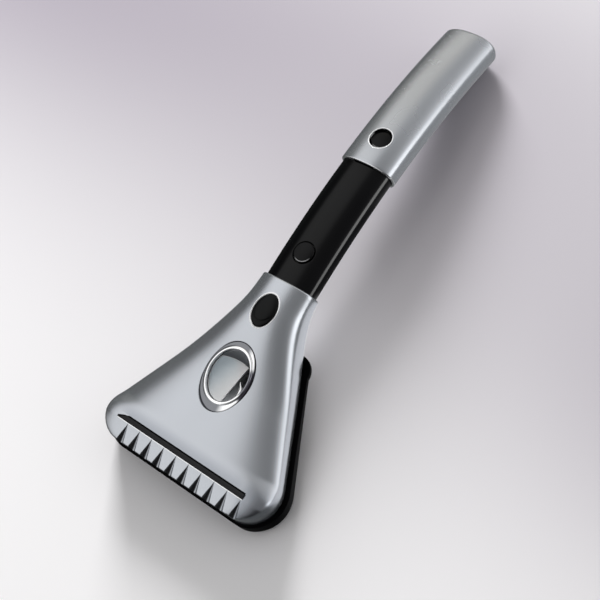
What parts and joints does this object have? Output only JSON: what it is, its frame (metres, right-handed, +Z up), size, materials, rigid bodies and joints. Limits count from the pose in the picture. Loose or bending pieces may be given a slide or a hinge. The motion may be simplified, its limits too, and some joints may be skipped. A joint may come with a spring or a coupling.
{
  "type": "heated ice scraper",
  "caption": "Heated ice scraper with a flared ribbed head, metal blade, rubber squeegee strip, oval lamp and power button, on an arched tube with a telescoping handle.",
  "frame": {"origin": "centre of the bounding box in X and Y, on the ground plane that the blade's edge and the handle's end stand on", "axes": "+Z up, +Y along the tool towards the handle's end, +X across the head; the scraping edge points to -Y"},
  "size_m": [0.1146, 0.2914, 0.0353],
  "materials": {
    "silver_paint": "satin silver paint on moulded plastic",
    "gloss_black": "gloss",
    "satin_black": "satin",
    "inner_black": "moulded",
    "bright_silver": "bright silver paint",
    "rubber_dark": "matt",
    "blade_steel": "brushed across its width",
    "plain_steel": "plain",
    "clear_lens": "polished clear plastic",
    "reflector_mirror": "metallised",
    "board_green": "solder mask",
    "heater_ceramic": "fired ceramic",
    "mica_brown": "pressed mica",
    "lead_red": "insulated wire",
    "lead_cream": "insulated wire",
    "contact_brass": "polished",
    "cell_blue": "sleeve"
  },
  "bodies": {
    "head_and_tube": {"head_shell": "silver_paint", "head_base": "gloss_black", "scraper_blade": "blade_steel", "heater_bar": "heater_ceramic", "heater_cover": "mica_brown", "thermal_cutout": "plain_steel", "squeegee_strip": "rubber_dark", "lens_bezel": "bright_silver", "lamp_lens": "clear_lens", "lamp_reflector": "reflector_mirror", "lamp_board": "board_green", "control_board": "board_green", "switch_board": "board_green", "neck_joiner": "inner_black", "joiner_screws": "plain_steel", "base_screws": "plain_steel", "power_leads": "lead_red", "heater_leads": "lead_cream", "charge_contacts": "contact_brass", "extension_tube": "gloss_black", "tube_end_plug": "inner_black", "front_snap_spring": "plain_steel", "rear_snap_spring": "plain_steel", "battery_cells": "cell_blue", "battery_contacts": "plain_steel"},
    "handle": {"handle_shell": "silver_paint", "handle_end_cap": "silver_paint"},
    "front_snap": {"front_snap_button": "satin_black"},
    "rear_snap": {"rear_snap_button": "satin_black"},
    "power": {"power_button": "satin_black"}
  },
  "joints": [
    {"name": "handle_slide", "type": "hinge", "parent": "head_and_tube", "child": "handle", "pos_m": [0, 0.01444, -0.47908], "axis": [1, 0, 0], "range_deg": [0, 8.32]},
    {"name": "front_snap_press", "type": "slide", "parent": "head_and_tube", "child": "front_snap", "axis": [0, 0.0611, -0.9981], "range_m": [0, 0.001], "stiffness_N_per_m": 1000, "springref_m": -0.002, "deforming": ["front_snap_spring"]},
    {"name": "rear_snap_press", "type": "slide", "parent": "head_and_tube", "child": "rear_snap", "axis": [0, -0.0839, -0.9965], "range_m": [0, 0.001], "stiffness_N_per_m": 1000, "springref_m": -0.002, "deforming": ["rear_snap_spring"]},
    {"name": "power_press", "type": "slide", "parent": "head_and_tube", "child": "power", "axis": [0, 0.0698, -0.9976], "range_m": [0, 0.0012], "stiffness_N_per_m": 1000, "springref_m": -0.001}
  ]
}
